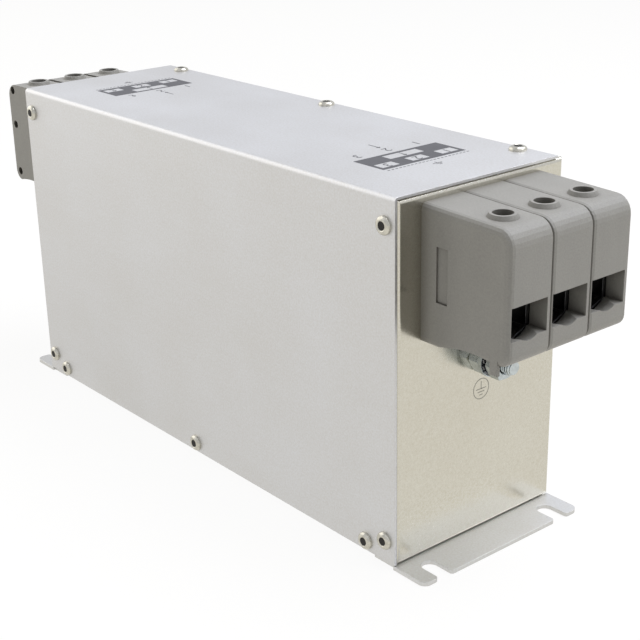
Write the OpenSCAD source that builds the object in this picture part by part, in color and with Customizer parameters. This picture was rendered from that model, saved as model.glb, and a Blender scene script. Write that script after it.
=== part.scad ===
// Three-phase power line filter in a riveted sheet-metal case, with clamp terminals at both ends.
// Origin at the centre of the base, +Z up, +X towards the load end, -Y towards the cover's side panel.

/* [Case] */
// Length of the case between the outer faces of its end walls
case_l = 240; // [210:5:300]
// Width of the case
case_w = 80; // [78:1:100]
// Height of the case
case_h = 135; // [128:1:160]
// Thickness of the base tray's sheet
sheet_t = 1.5; // [1:0.1:1.6]
// Thickness of the sheet of the cover and the end walls
skin_t = 1; // [0.8:0.1:1.5]
// Inside radius of every fold
fold_r = 0.5; // [0.4:0.1:1.2]
// Gap left between sheets that lie on each other
lap_gap = 0.1; // [0.05:0.05:0.2]
// Height of the cover's lower edge above the floor
cover_clear = 1.8; // [1.7:0.1:2.4]
// Distance of the cover's rear edge from the back of the case
cover_back = 3; // [2.2:0.1:4]
// Width of the seams that the base tray turns up and over
seam_w = 11; // [10:0.5:14]
// Depth of the flanges round each end wall
wall_flange = 10.5; // [9.5:0.5:12]

/* [Feet] */
// How far each foot stands out of the case
foot_l = 15; // [12:0.5:20]
// Distance of each slot's centre from the end wall
slot_out = 7.5; // [6:0.5:9]
// Distance between the two slots of a foot
slot_gap = 60; // [50:1:62]
// Width of each open slot
slot_w = 6.5; // [5:0.5:7]
// Radius of the foot's outer corners
foot_r = 3; // [1:0.5:4]
// Radius of the corners beside a slot
slot_edge_r = 1.2; // [0.5:0.1:1.5]
// Width of the relief slit between a foot and the back panel's fold
relief_w = 0.8; // [0.4:0.1:1.1]

/* [Rivets] */
// Diameter of a rivet's head
rivet_head_d = 6.6; // [5.5:0.1:7.5]
// Height of a rivet's head
rivet_head_h = 1.6; // [1:0.1:2]
// Diameter of a rivet's shank
rivet_d = 4; // [3.2:0.1:4.2]
// Diameter of the hole that the mandrel leaves
rivet_core_d = 2.6; // [1.8:0.1:2.8]
// Radial clearance of a rivet in its hole
rivet_fit = 0.1; // [0.05:0.05:0.2]
// Distance of the seam rivets from the end walls
rivet_seam_x = 15; // [14:0.5:20]
// Distance of the wall rivets from the end walls
rivet_wall_x = 5; // [4.8:0.1:6]
// Height of the seam rivets above the floor
rivet_seam_z = 5.6; // [5.2:0.1:7]
// Distance of the wall rivets from the floor and from the top
rivet_wall_z = 10; // [9:0.5:14]
// Distance of the top rivets from the back of the case
rivet_top_y = 7; // [6.5:0.5:8]

/* [Terminals] */
// Distance between neighbouring terminals
pole_pitch = 19; // [18.8:0.1:19.5]
// Gap between neighbouring terminal housings
pole_gap = 0.3; // [0.1:0.05:0.5]
// How far a terminal stands out of the end wall
term_l = 39; // [38:0.5:44]
// Height of a terminal at the end wall
term_h = 48.2; // [47:0.2:52]
// Distance of the terminal's top from the top of the case
term_drop = 3.8; // [3:0.1:6]
// Fall of the terminal's top towards its front
term_fall = 1; // [0:0.1:1.5]
// Radius of the terminal's upper front edge
term_top_r = 6; // [4:0.5:7]
// Radius of the terminal's lower front edge
term_low_r = 4.5; // [3:0.5:5]
// Width of the soft edges on one flank
term_soft_w = 1.8; // [1:0.1:2]
// How far the soft edges fall back towards that flank
term_soft_d = 2.4; // [1:0.1:2.8]
// Length of the flat rear foot of a terminal
term_foot = 7; // [5:0.5:8]
// Rise of the arched underside
arch_rise = 3.1; // [2:0.1:3.5]
// Radius of the arched underside
arch_r = 45.5; // [42:0.5:50]
// Width of the wire window
window_w = 16.3; // [15:0.1:16.5]
// Height of the wire window
window_h = 11.3; // [10:0.1:11.5]
// Height of the wire window above the terminal's rear foot
window_up = 11; // [10.5:0.1:11.5]
// Radius of the wire groove at the front face
groove_front_r = 6.75; // [6:0.05:7]
// Radius of the wire groove at the clamp chamber
groove_rear_r = 9; // [8:0.1:9.2]
// Wall beside the clamp chamber
chamber_wall = 0.9; // [0.8:0.05:1.1]
// Length of the clamp chamber
chamber_l = 10.4; // [9.5:0.1:11]
// Diameter of the screwdriver hole
driver_d = 6.9; // [6.5:0.1:7.2]
// Distance of the screwdriver hole from the front face
driver_in = 12.5; // [12:0.1:13]
// Diameter of the collar round the screwdriver hole
collar_d = 10.8; // [10:0.1:12]
// Height of the collar
collar_h = 1.6; // [1:0.1:2]
// Thickness of the wall above the clamp chamber
roof_t = 3.4; // [3:0.1:4]
// Depth of the spigot behind the wall's outer face
spigot_l = 4.6; // [4.2:0.1:6]
// Width of the spigot
spigot_w = 14; // [12:0.5:15]
// Height of the spigot
spigot_h = 34; // [30:0.5:35]
// Clearance round the spigot in the end wall
spigot_fit = 0.15; // [0.05:0.05:0.3]
// Reach of the snap barbs over the wall
barb_reach = 1.3; // [0.8:0.1:1.5]
// Diameter of the pin holes in a terminal's flank
pin_d = 3.6; // [3:0.1:4]
// Depth of the pin holes
pin_depth = 3; // [2:0.5:4]

/* [Clamps] */
// Wall beside the cage's mouth
cage_wall = 1.7; // [1.5:0.1:2]
// Thickness of the cage's threaded roof
cage_roof = 6; // [5:0.5:6.5]
// Clearance round the cage in its chamber
cage_fit = 0.2; // [0.1:0.05:0.3]
// Width of the current bar
bar_w = 10; // [8:0.5:11]
// Thickness of the current bar
bar_t = 3; // [2.5:0.1:3.2]
// Clearance round the current bar in its slots
bar_fit = 0.1; // [0.05:0.05:0.2]
// Reach of the current bar behind the wall's outer face
bar_tail = 26; // [24:0.5:30]
// Diameter of the clamp screw
clamp_screw_d = 8; // [7:0.5:8]
// Diameter of the clamp screw's head
clamp_head_d = 9.5; // [9:0.1:11]
// Height of the clamp screw's head
clamp_head_h = 4.5; // [3.5:0.1:5]

/* [Earth stud] */
// Height of the earth studs above the floor
earth_z = 70.5; // [66:0.5:74]
// Diameter of the earth stud
earth_d = 6; // [5:0.5:6]
// How far the earth stud stands out of the end wall
earth_out = 16.5; // [16:0.5:20]
// Width across the flats of the stud's nuts and head
nut_af = 10; // [9:0.5:11]
// Thickness of each nut
nut_t = 5; // [4:0.2:5.2]
// Diameter of the flat washer
washer_d = 12; // [11:0.5:13]
// Thickness of the flat washer
washer_t = 1.6; // [1:0.1:1.6]
// Thickness of the toothed washer
tooth_washer_t = 1.2; // [0.8:0.1:1.6]
// Clearance round the stud
stud_fit = 0.05; // [0.02:0.01:0.1]
// Thickness of the earth lug
lug_t = 1; // [0.8:0.1:1.2]

/* [Choke] */
// Outer diameter of the core's case
core_d = 60; // [56:1:61]
// Diameter of the hole through the core's case
core_bore = 31; // [30:0.5:33]
// Length of the core's case
core_l = 50; // [40:1:52]
// Wall of the core's case
core_wall = 1.5; // [1:0.1:2]
// Gap round the core in its case
core_gap = 0.2; // [0.1:0.05:0.3]
// Diameter of the winding wire
wire_d = 4; // [3.4:0.1:4]
// Gap between the wire and what it lies on
wire_gap = 0.25; // [0.15:0.05:0.3]
// Turns of each winding
turns = 5; // [3:1:5]
// Thickness of the divider's arms
divider_t = 2; // [1.5:0.1:2.4]
// Thickness of the insulating sheet on the floor
liner_t = 0.8; // [0.4:0.1:1.2]
// Width of the choke's cradle
cradle_w = 52; // [44:1:56]
// Length of the choke's cradle
cradle_l = 44; // [30:1:44]
// Thickness of the cradle under the winding
cradle_t = 4; // [3:0.5:6]
// Width of the cradle's rib between the windings
rib_w = 8; // [6:0.5:8.5]

/* [Boards] */
// Distance of each board from the outer face of its end wall
board_in = 18.5; // [18.5:0.1:19.5]
// Thickness of a board
board_t = 1.6; // [1.2:0.1:2]
// Reach of the boards above the current bars
board_over = 7.8; // [4:0.2:9]
// Gap between a board and the side of the case
board_side = 1.4; // [1:0.1:3]
// Width of a phase capacitor
xcap_w = 20; // [18:0.5:21]
// Height of a phase capacitor
xcap_h = 41.5; // [36:0.5:43]
// Depth of a phase capacitor
xcap_depth = 28; // [24:0.5:30]
// Distance between neighbouring phase capacitors
xcap_pitch = 22.5; // [22:0.5:24]
// Height of the phase capacitors above the floor
xcap_z = 8; // [7:0.5:9]
// Width of an earth capacitor
ycap_w = 26.5; // [22:0.5:30]
// Height of an earth capacitor
ycap_h = 17; // [14:0.5:19]
// Depth of an earth capacitor
ycap_depth = 10; // [8:0.5:12]
// Height of the earth capacitors above the floor
ycap_z = 63; // [62:0.5:65]
// Diameter of the bleed resistors
resistor_d = 5; // [4:0.5:6]
// Length of the bleed resistors
resistor_l = 15; // [12:0.5:15.5]
// Height of the bleed resistors above the floor
resistor_z = 90; // [88:0.5:92]
// Diameter of the component leads
lead_d = 1.2; // [0.8:0.1:1.4]
// Radial clearance of a lead in its hole
lead_fit = 0.1; // [0.05:0.05:0.15]
// Diameter of the earth lead
earth_lead_d = 2.6; // [2:0.1:3]

/* [Hidden] */
LOAD = 1;
LINE = -1;
POLES = [1, 2, 3];
function end_name(end) = end == LOAD ? "load" : "line";
function poled(stem) = [for (end = [LINE, LOAD], p = POLES) str(stem, "_", end_name(end), "_", p)];
function ended(stem) = [for (end = [LINE, LOAD]) str(stem, "_", end_name(end))];

$fn = 48;
round_fn = 24;
eps = 0.01;

tray_fold = fold_r + sheet_t;
skin_fold = fold_r + skin_t;
half_l = case_l / 2;
half_w = case_w / 2;
roof_z = case_h - skin_t;
tray_top = roof_z - lap_gap;
tray_half_w = half_w - skin_t - lap_gap;
inner_half_w = tray_half_w - sheet_t;
skin_lap = 2 * skin_t + lap_gap;
tray_lap = skin_t + lap_gap + sheet_t;
seam_end = half_l - wall_flange - 1;
back_end = half_l - skin_fold;

wall_y0 = -tray_half_w;
wall_y1 = half_w;
wall_low = sheet_t + lap_gap;
wall_high = roof_z - lap_gap;

rivet_r = rivet_d / 2;
rivet_hole_r = rivet_r + rivet_fit;
rivet_swell = 0.4;
rivet_bulb_l = 3.4;
rivet_bulb_cut = 0.6;
rivet_rim_h = 0.45;
rivet_core_rim = 0.3;
rivet_core_run = 0.8;

term_w = pole_pitch - pole_gap;
term_top = case_h - term_drop;
term_low = term_top - term_h;
front_rise = 1.7;
front_low = term_low + front_rise;
foot_run_on = 1.5;
arch_x = term_foot + sqrt(arch_r * arch_r - pow(arch_r - arch_rise, 2));
spigot_mid = term_low + term_h / 2;
barb_w = 8;
window_low = term_low + window_up;
window_top = window_low + window_h;
window_mid = window_low + window_h / 2;
driver_x = term_l - driver_in;
chamber_x0 = driver_x - chamber_l / 2;
chamber_x1 = driver_x + chamber_l / 2;
chamber_w = term_w - 2 * chamber_wall;
chamber_sink = 4.8;
chamber_low = window_low - chamber_sink;
chamber_top = term_top - term_fall - roof_t;
collar_top = term_top - term_fall + collar_h;
collar_flare = 0.4;
collar_draft = 0.9;
key_back = 0.4;
key_l = 3.3;
key_w = 1.2;
key_drop = 1.5;
recess_depth = 0.6;
recess_up = 5;
recess_l = 5;
recess_h = 19;
pin_edge = 3.8;
pin_below = 5.2;
pin_above = 6;

bar_up = 0.2;
bar_low = window_top + bar_up;
bar_top = bar_low + bar_t;
cage_l = chamber_l - 2 * cage_fit;
bar_set_back = 0.5;
bar_front = driver_x + cage_l / 2 - bar_set_back;
cage_w = chamber_w - 2 * cage_fit;
cage_low = chamber_low + cage_fit;
cage_floor_t = 1.6;
cage_mouth_w = cage_w - 2 * cage_wall;
cage_mouth_over = 2.4;
cage_mouth_top = bar_top + cage_mouth_over;
cage_top = cage_mouth_top + cage_roof;
clamp_head_up = 1;
clamp_head_low = cage_top + clamp_head_up;
screw_slot_w = 1.4;
screw_slot_depth = 2;
thread_fit = 0.1;

stud_r = earth_d / 2;
nut_r = nut_af / 2 / cos(30);
bolt_head_t = 4;
stud_chamfer = 0.8;
lug_r = washer_d / 2;
tooth_r = lug_r - 0.4;
tooth_gap = 1.4;
tooth_l = 1.3;
tooth_turn = 36;
barrel_drop = 0.3;
barrel_h = 5;
earth_bend = 4;
washer_x = nut_t;
tooth_washer_x = washer_x + washer_t;
outer_nut_x = tooth_washer_x + tooth_washer_t;

wire_r = wire_d / 2;
coil_out_r = core_d / 2 + wire_gap + wire_r;
coil_in_r = core_bore / 2 - wire_gap - wire_r;
coil_x = core_l / 2 + wire_gap + wire_r;
turn_step = 2 * asin((wire_d + wire_gap) / 2 / coil_in_r);
wire_bend = 3.4;
wire_sides = 8;
sector_mid = [330, 90, 210];
sector_turn = [1, -1, 1];
// Height above the choke's axis at which each pole's lead leaves its riser
lead_rise = [-22, 38, 24];
lead_run_in = 6;
floor_z = sheet_t + liner_t;
sheet_half_w = tray_half_w - tray_fold - 0.3;
cradle_gap = 0.1;
saddle_r = coil_out_r + wire_r + cradle_gap;
choke_z = floor_z + cradle_t + saddle_r;
lead_z = bar_top + wire_r;
riser_out = 16;
riser_x = coil_x + riser_out;
inner_riser_x = coil_x + riser_out / 2;
cradle_h = cradle_t + saddle_r - sqrt(saddle_r * saddle_r - cradle_w * cradle_w / 4);

board_back = board_in + board_t;
board_half_w = inner_half_w - board_side;
board_top = bar_top + board_over;
lead_gap = 1.4;
lead_end = half_l - board_back - lead_gap;
lead_r = lead_d / 2;
pin_out = 1.4;
pin_inset = 2;
xcap_pin = xcap_h - 2 * pin_inset;
ycap_pin = ycap_w - 2 * pin_inset;
resistor_lead = 1.5;
resistor_pitch = resistor_l + 2 * resistor_lead;
earth_lead_z = (xcap_z + xcap_h + ycap_z) / 2;
earth_barrel_wall = 0.7;
earth_barrel_r = earth_lead_d / 2 + earth_barrel_wall;

// ---- helpers -------------------------------------------------------------------------------

// Puts what is drawn on an end wall's outer face, with +x outwards, at one end of the case
module at_end(end) {
    rotate([0, 0, end == LOAD ? 0 : 180]) translate([half_l, 0, 0]) children();
}

// Puts a piece at one pole of one end; pole 3 is the one next to the cover's side panel
module at_pole(end, pole) {
    at_end(end) translate([0, end * (2 - pole) * pole_pitch, 0]) children();
}

// A block from its lowest to its highest corner
module block(low, high) {
    translate(low) cube(high - low);
}

// Extrudes a section drawn in (y, z) along x
module along_x(x0, x1) {
    translate([x0, 0, 0]) rotate([90, 0, 90]) linear_extrude(x1 - x0) children();
}

// Extrudes an outline drawn in (x, z) along y
module along_y(y0, y1) {
    translate([0, y1, 0]) rotate([90, 0, 0]) linear_extrude(y1 - y0) children();
}

// Round bar along x
module rod_x(x0, x1, r) {
    translate([x0, 0, 0]) rotate([0, 90, 0]) cylinder(r = r, h = x1 - x0);
}

// Round bar along y
module rod_y(y0, y1, r) {
    translate([0, y1, 0]) rotate([90, 0, 0]) cylinder(r = r, h = y1 - y0);
}

// Section of a fold in sheet of thickness t that turns from +x to +y round the origin
module quarter_fold(t) {
    intersection() {
        difference() {
            circle(fold_r + t);
            circle(fold_r);
        }
        square(fold_r + t);
    }
}

// What rounding takes from a square corner at the origin, with the sheet towards -x and -y
module corner_waste(r) {
    difference() {
        translate([-r, -r]) square(r + 1);
        translate([-r, -r]) circle(r);
    }
}

// ---- tubes along a path --------------------------------------------------------------------

function unit(v) = v / norm(v);

// Points of a path with each inner corner rounded off
function rounded_path(p, r, steps) = [
    p[0],
    for (i = [1 : len(p) - 2])
        let (
            to_last = p[i - 1] - p[i],
            to_next = p[i + 1] - p[i],
            cut = min(r, norm(to_last) / 2.1, norm(to_next) / 2.1),
            a = p[i] + unit(to_last) * cut,
            b = p[i] + unit(to_next) * cut
        )
        for (k = [0 : steps])
            let (t = k / steps) (1 - t) * (1 - t) * a + 2 * t * (1 - t) * p[i] + t * t * b,
    p[len(p) - 1]
];

function tangents(p) = [
    for (i = [0 : len(p) - 1]) unit(p[min(i + 1, len(p) - 1)] - p[max(i - 1, 0)])
];

// A vector square to each tangent, carried along the path without twist
function carried_normals(t) = [
    for (
        i = 0, n = unit(cross(t[0], abs(t[0].z) < 0.9 ? [0, 0, 1] : [0, 1, 0]));
        i < len(t);
        i = i + 1, n = i < len(t) ? unit(n - (n * t[i]) * t[i]) : n
    ) n
];

// A tube of radius r with flat ends along the points of a path
module tube_along(p, r) {
    t = tangents(p);
    n = carried_normals(t);
    last = (len(p) - 1) * wire_sides;
    points = [
        for (i = [0 : len(p) - 1], j = [0 : wire_sides - 1])
            let (a = 360 * j / wire_sides) p[i] + r * (cos(a) * n[i] + sin(a) * cross(t[i], n[i]))
    ];
    walls = [
        for (i = [0 : len(p) - 2], j = [0 : wire_sides - 1])
            let (a = i * wire_sides + j, b = i * wire_sides + (j + 1) % wire_sides)
            for (face = [[a, a + wire_sides, b], [b, a + wire_sides, b + wire_sides]]) face
    ];
    first_end = [for (j = [0 : wire_sides - 1]) j];
    last_end = [for (j = [wire_sides - 1 : -1 : 0]) last + j];
    polyhedron(points, concat(walls, [first_end, last_end]));
}

// ---- case ----------------------------------------------------------------------------------

// Top and side panel in section, one sheet folded along the upper front edge
module cover_section() {
    translate([-half_w, cover_clear]) square([skin_t, case_h - skin_fold - cover_clear]);
    translate([-half_w + skin_fold, case_h - skin_fold]) rotate(90) quarter_fold(skin_t);
    translate([-half_w + skin_fold, roof_z]) square([case_w - skin_fold - cover_back, skin_t]);
}

// Positions of the rivets on the side panel as [x, z]
function wall_rivets() = [for (x = [-1, 1], z = [rivet_wall_z, case_h - rivet_wall_z])
    [x * (half_l - rivet_wall_x), z]];
function seam_rivets() = [for (x = [-1, 0, 1]) [x * (half_l - rivet_seam_x), rivet_seam_z]];

module cover() {
    color("gainsboro") difference() {
        along_x(-half_l, half_l) cover_section();
        for (at = concat(wall_rivets(), seam_rivets()))
            translate([at.x, 0, at.y]) rod_y(-half_w - 1, -half_w + skin_t + 1, rivet_hole_r);
        for (at = seam_rivets())
            translate([at.x, half_w - rivet_top_y, roof_z - 1]) cylinder(r = rivet_hole_r, h = skin_t + 2);
    }
}

// Floor and feet of the tray as one flat outline
module floor_outline() {
    translate([-half_l, -tray_half_w + tray_fold]) square([case_l, 2 * (tray_half_w - tray_fold)]);
    for (side = [0, 1]) mirror([side, 0]) {
        translate([seam_end, -tray_half_w]) square([half_l - seam_end, tray_fold]);
        foot_outline();
    }
}

// One foot with its two open slots
module foot_outline() {
    root_x = back_end + relief_w;
    foot_end = half_l + foot_l;
    slot_x = half_l + slot_out;
    difference() {
        translate([root_x, -half_w]) square([foot_end - root_x, case_w]);
        for (side = [0, 1]) mirror([0, side]) {
            translate([foot_end, half_w]) corner_waste(foot_r);
            translate([slot_x, slot_gap / 2]) {
                circle(slot_w / 2);
                translate([0, -slot_w / 2]) square([foot_l, slot_w]);
            }
            translate([foot_end, slot_gap / 2 - slot_w / 2]) corner_waste(slot_edge_r);
            translate([foot_end, slot_gap / 2 + slot_w / 2]) rotate(270) corner_waste(slot_edge_r);
        }
    }
}

// Seam that the tray turns up behind the cover's side panel
module front_seam_section() {
    translate([-tray_half_w + tray_fold, tray_fold]) rotate(180) quarter_fold(sheet_t);
    translate([-tray_half_w, tray_fold]) square([sheet_t, seam_w - tray_fold]);
}

// Back panel of the tray
module back_section() {
    translate([tray_half_w - tray_fold, tray_fold]) rotate(270) quarter_fold(sheet_t);
    translate([inner_half_w, tray_fold]) square([sheet_t, tray_top - 2 * tray_fold]);
}

// Seam that the back panel turns over under the cover's top
module top_seam_section() {
    translate([tray_half_w - tray_fold, tray_top - tray_fold]) quarter_fold(sheet_t);
    translate([tray_half_w - seam_w, tray_top - sheet_t]) square([seam_w - tray_fold, sheet_t]);
}

module base_tray() {
    color("silver") difference() {
        union() {
            linear_extrude(sheet_t) floor_outline();
            along_x(-seam_end, seam_end) front_seam_section();
            along_x(-back_end, back_end) back_section();
            along_x(-seam_end, seam_end) top_seam_section();
        }
        for (at = wall_rivets())
            translate([at.x, 0, at.y]) rod_y(inner_half_w - 1, half_w, rivet_hole_r);
        for (at = seam_rivets()) {
            translate([at.x, 0, at.y]) rod_y(-half_w, -inner_half_w + 1, rivet_hole_r);
            translate([at.x, half_w - rivet_top_y, tray_top - sheet_t - 1])
                cylinder(r = rivet_hole_r, h = sheet_t + 2);
        }
    }
}

// Outline from x = -depth to 0 between two levels, with its corners at x = 0 rounded off
module pan_outline(depth, low, high, r) {
    difference() {
        translate([-depth, low]) square([depth, high - low]);
        translate([0, high]) corner_waste(r);
        translate([0, low]) mirror([0, 1]) corner_waste(r);
    }
}

// Solid pan with the end wall's outline drawn in by d all round and its front at x = -d
module solid_pan(d, r) {
    translate([-d, 0, 0]) intersection() {
        along_y(wall_y0 + d, wall_y1 - d) pan_outline(wall_flange, wall_low + d, wall_high - d, r);
        translate([0, 0, wall_low]) linear_extrude(wall_high - wall_low)
            pan_outline(wall_flange, wall_y0 + d, wall_y1 - d, r);
    }
}

// Slots that part the flanges behind the folds; the one beside the back panel is wider
module flange_slots() {
    rear = -wall_flange - 1;
    block([rear, wall_y0 - 1, wall_low - 1], [-skin_fold, wall_y0 + skin_fold, wall_low + skin_fold]);
    block([rear, wall_y0 - 1, wall_high - skin_fold], [-skin_fold, wall_y0 + skin_fold, wall_high + 1]);
    block([rear, wall_y1 - skin_fold, wall_high - skin_fold], [-skin_fold, wall_y1 + 1, wall_high + 1]);
    block([rear, tray_half_w - tray_fold, wall_low - 1], [-skin_fold, wall_y1 + 1, wall_low + skin_fold]);
}

// End wall: a folded pan whose flanges lie inside the cover and outside the back panel
module end_wall(end) {
    cut_x = -skin_t - 1;
    turned = end == LINE ? 1 : 0;
    color("lightgray") difference() {
        mirror([turned, 0, 0]) translate([half_l, 0, 0]) difference() {
            solid_pan(0, skin_fold);
            solid_pan(skin_t, fold_r);
            flange_slots();
            for (z = [rivet_wall_z, case_h - rivet_wall_z])
                translate([-rivet_wall_x, 0, z]) rod_y(-half_w, half_w + 1, rivet_hole_r);
        }
        at_end(end) {
            for (pole = POLES) translate([0, (pole - 2) * pole_pitch, 0]) block(
                [cut_x, -spigot_w / 2 - spigot_fit, spigot_mid - spigot_h / 2 - spigot_fit],
                [1, spigot_w / 2 + spigot_fit, spigot_mid + spigot_h / 2 + spigot_fit]
            );
            translate([0, 0, earth_z]) rod_x(cut_x, 1, stud_r + 2 * stud_fit);
        }
    }
}

// ---- rivets --------------------------------------------------------------------------------

// Set blind rivet with its head on the sheet at z = 0 and its bulb behind sheets lapped to a depth
module blind_rivet(lap) {
    core_r = rivet_core_d / 2;
    dome_r = core_r + rivet_core_rim;
    core_depth = lap + rivet_core_run;
    head_r = rivet_head_d / 2;
    bulb_r = rivet_r + rivet_swell;
    tail = lap + rivet_bulb_l;
    dome = [for (a = [80 : -16 : 0]) [
        dome_r + (head_r - dome_r) * cos(a),
        rivet_rim_h + (rivet_head_h - rivet_rim_h) * sin(a)
    ]];
    rotate_extrude() polygon(concat(
        [[0, -core_depth], [core_r, -core_depth], [core_r, rivet_head_h - rivet_core_rim]],
        dome,
        [[head_r, 0], [rivet_r, 0], [rivet_r, -lap], [bulb_r, -lap]],
        [[bulb_r, rivet_bulb_cut - tail], [rivet_r, -tail], [0, -tail]]
    ));
}

module cover_rivets() {
    color("whitesmoke") {
        for (at = wall_rivets())
            translate([at.x, -half_w, at.y]) rotate([90, 0, 0]) blind_rivet(skin_lap);
        for (at = seam_rivets())
            translate([at.x, -half_w, at.y]) rotate([90, 0, 0]) blind_rivet(tray_lap);
    }
}

module back_rivets() {
    color("whitesmoke") for (at = wall_rivets())
        translate([at.x, half_w, at.y]) rotate([-90, 0, 0]) blind_rivet(tray_lap);
}

module top_rivets() {
    color("whitesmoke") for (at = seam_rivets())
        translate([at.x, half_w - rivet_top_y, case_h]) blind_rivet(tray_lap);
}

// ---- terminals -----------------------------------------------------------------------------

// Side view of the housing, drawn in by d all round except at the wall
module term_outline(d) {
    hull() {
        translate([0, term_low + d]) square([term_foot + foot_run_on, eps]);
        translate([0, term_top - d - eps]) square([eps, eps]);
        translate([term_l - term_low_r, front_low + term_low_r]) circle(term_low_r - d, $fn = round_fn);
        translate([term_l - term_top_r, term_top - term_fall - term_top_r])
            circle(term_top_r - d, $fn = round_fn);
    }
}

// Housing body with soft edges on its -y flank
module term_body() {
    hull() {
        along_y(-term_w / 2 + term_soft_w, term_w / 2) term_outline(0);
        for (a = [30, 60, 90])
            translate([0, -term_w / 2 + term_soft_w * (1 - sin(a)), 0])
                along_y(0, eps) term_outline(term_soft_d * (1 - cos(a)));
    }
}

// Spigot that goes through the end wall, with a snap barb above and below
module term_spigot() {
    half_h = spigot_h / 2;
    barb_x = skin_t + lap_gap;
    block([-spigot_l, -spigot_w / 2, spigot_mid - half_h], [eps, spigot_w / 2, spigot_mid + half_h]);
    for (side = [0, 1]) translate([0, 0, spigot_mid]) mirror([0, 0, side])
        along_y(-barb_w / 2, barb_w / 2)
            polygon([[-barb_x, half_h - eps], [-barb_x, half_h + barb_reach], [-spigot_l, half_h - eps]]);
}

// Funnel-shaped groove that leads a wire over the window's sill
module wire_groove() {
    length = term_l - chamber_x1;
    intersection() {
        translate([chamber_x1 - eps, 0, window_mid]) rotate([0, 90, 0])
            cylinder(r1 = groove_rear_r, r2 = groove_front_r, h = length + 2 * eps);
        block([chamber_x1 - eps, -window_w / 2, term_low], [term_l + 1, window_w / 2, window_mid]);
    }
}

module terminal_housing(end, pole) {
    half = term_w / 2;
    outermost = end * (2 - pole) == -1;
    color("darkgray") at_pole(end, pole) difference() {
        union() {
            difference() {
                term_body();
                translate([arch_x, 0, term_low + arch_rise - arch_r]) rod_y(-half - 1, half + 1, arch_r);
            }
            term_spigot();
            translate([driver_x, 0, collar_top - collar_h - 1])
                cylinder(r1 = collar_d / 2 + collar_flare, r2 = collar_d / 2 - collar_draft, h = collar_h + 1);
            if (outermost) block(
                [chamber_x1 - key_back, -half, term_low - key_drop],
                [chamber_x1 - key_back + key_l, -half + key_w, front_low + term_soft_d + 1]
            );
        }
        block([chamber_x0, -chamber_w / 2, chamber_low], [chamber_x1, chamber_w / 2, chamber_top]);
        block([chamber_x1 - eps, -window_w / 2, window_low], [term_l + 1, window_w / 2, window_top]);
        wire_groove();
        translate([driver_x, 0, chamber_top - 1]) cylinder(d = driver_d, h = term_top - chamber_top + 5);
        block(
            [-spigot_l - 1, -bar_w / 2 - bar_fit, bar_low - bar_fit],
            [chamber_x0 + 1, bar_w / 2 + bar_fit, bar_top + bar_fit]
        );
        flank_recess();
        flank_pin_holes();
    }
}

// Shallow pocket in the -y flank
module flank_recess() {
    low = window_low + recess_up;
    block([term_foot, -term_w / 2 - 1, low], [term_foot + recess_l, -term_w / 2 + recess_depth, low + recess_h]);
}

// Holes in the +y flank for the pins that line up the neighbouring housings
module flank_pin_holes() {
    pin_x = term_l - pin_edge;
    for (z = [window_low - pin_below, window_top + pin_above, term_top - pin_edge])
        translate([pin_x, 0, z]) rod_y(term_w / 2 - pin_depth, term_w / 2 + 1, pin_d / 2);
}

// ---- clamps --------------------------------------------------------------------------------

module clamp_cage(end, pole) {
    mouth = cage_mouth_w / 2;
    color("gold") at_pole(end, pole) difference() {
        block([driver_x - cage_l / 2, -cage_w / 2, cage_low], [driver_x + cage_l / 2, cage_w / 2, cage_top]);
        along_x(driver_x - cage_l / 2 - 1, driver_x + cage_l / 2 + 1) polygon([
            [0, cage_low + cage_floor_t], [mouth, window_low - cage_fit],
            [mouth, cage_mouth_top], [-mouth, cage_mouth_top], [-mouth, window_low - cage_fit]
        ]);
        translate([driver_x, 0, cage_mouth_top - 1]) cylinder(d = clamp_screw_d, h = cage_roof + 2);
    }
}

module clamp_screw(end, pole) {
    head_top = clamp_head_low + clamp_head_h;
    color("khaki") at_pole(end, pole) translate([driver_x, 0, 0]) difference() {
        union() {
            translate([0, 0, bar_top]) cylinder(r = clamp_screw_d / 2 - thread_fit, h = clamp_head_low - bar_top);
            translate([0, 0, clamp_head_low]) cylinder(d = clamp_head_d, h = clamp_head_h);
        }
        block([-clamp_head_d, -screw_slot_w / 2, head_top - screw_slot_depth],
            [clamp_head_d, screw_slot_w / 2, head_top + 1]);
    }
}

module current_bar(end, pole) {
    color("goldenrod") at_pole(end, pole)
        block([-bar_tail, -bar_w / 2, bar_low], [bar_front, bar_w / 2, bar_top]);
}

// ---- earth studs ---------------------------------------------------------------------------

// Puts a piece on the axis of one end's earth stud
module at_stud(end) {
    at_end(end) translate([0, 0, earth_z]) children();
}

// Six-sided prism along x with a flat on top
module hex_x(x0, x1) {
    translate([x0, 0, 0]) rotate([0, 90, 0]) rotate(30) cylinder(r = nut_r, h = x1 - x0, $fn = 6);
}

module earth_bolts() {
    head_x = -skin_t - lug_t;
    end_x = earth_out - stud_chamfer;
    r = stud_r - stud_fit;
    color("silver") for (end = [LINE, LOAD]) at_stud(end) {
        hex_x(head_x - bolt_head_t, head_x);
        rod_x(head_x - eps, end_x, r);
        translate([end_x - eps, 0, 0]) rotate([0, 90, 0])
            cylinder(r1 = r, r2 = r - stud_chamfer, h = stud_chamfer);
    }
}

module earth_nuts() {
    color("silver") for (end = [LINE, LOAD], x = [0, outer_nut_x]) at_stud(end) difference() {
        hex_x(x, x + nut_t);
        rod_x(x - 1, x + nut_t + 1, stud_r);
    }
}

module earth_washers() {
    color("silver") for (end = [LINE, LOAD]) at_stud(end) difference() {
        rod_x(washer_x, tooth_washer_x, lug_r);
        rod_x(washer_x - 1, tooth_washer_x + 1, stud_r + stud_fit);
    }
}

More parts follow.
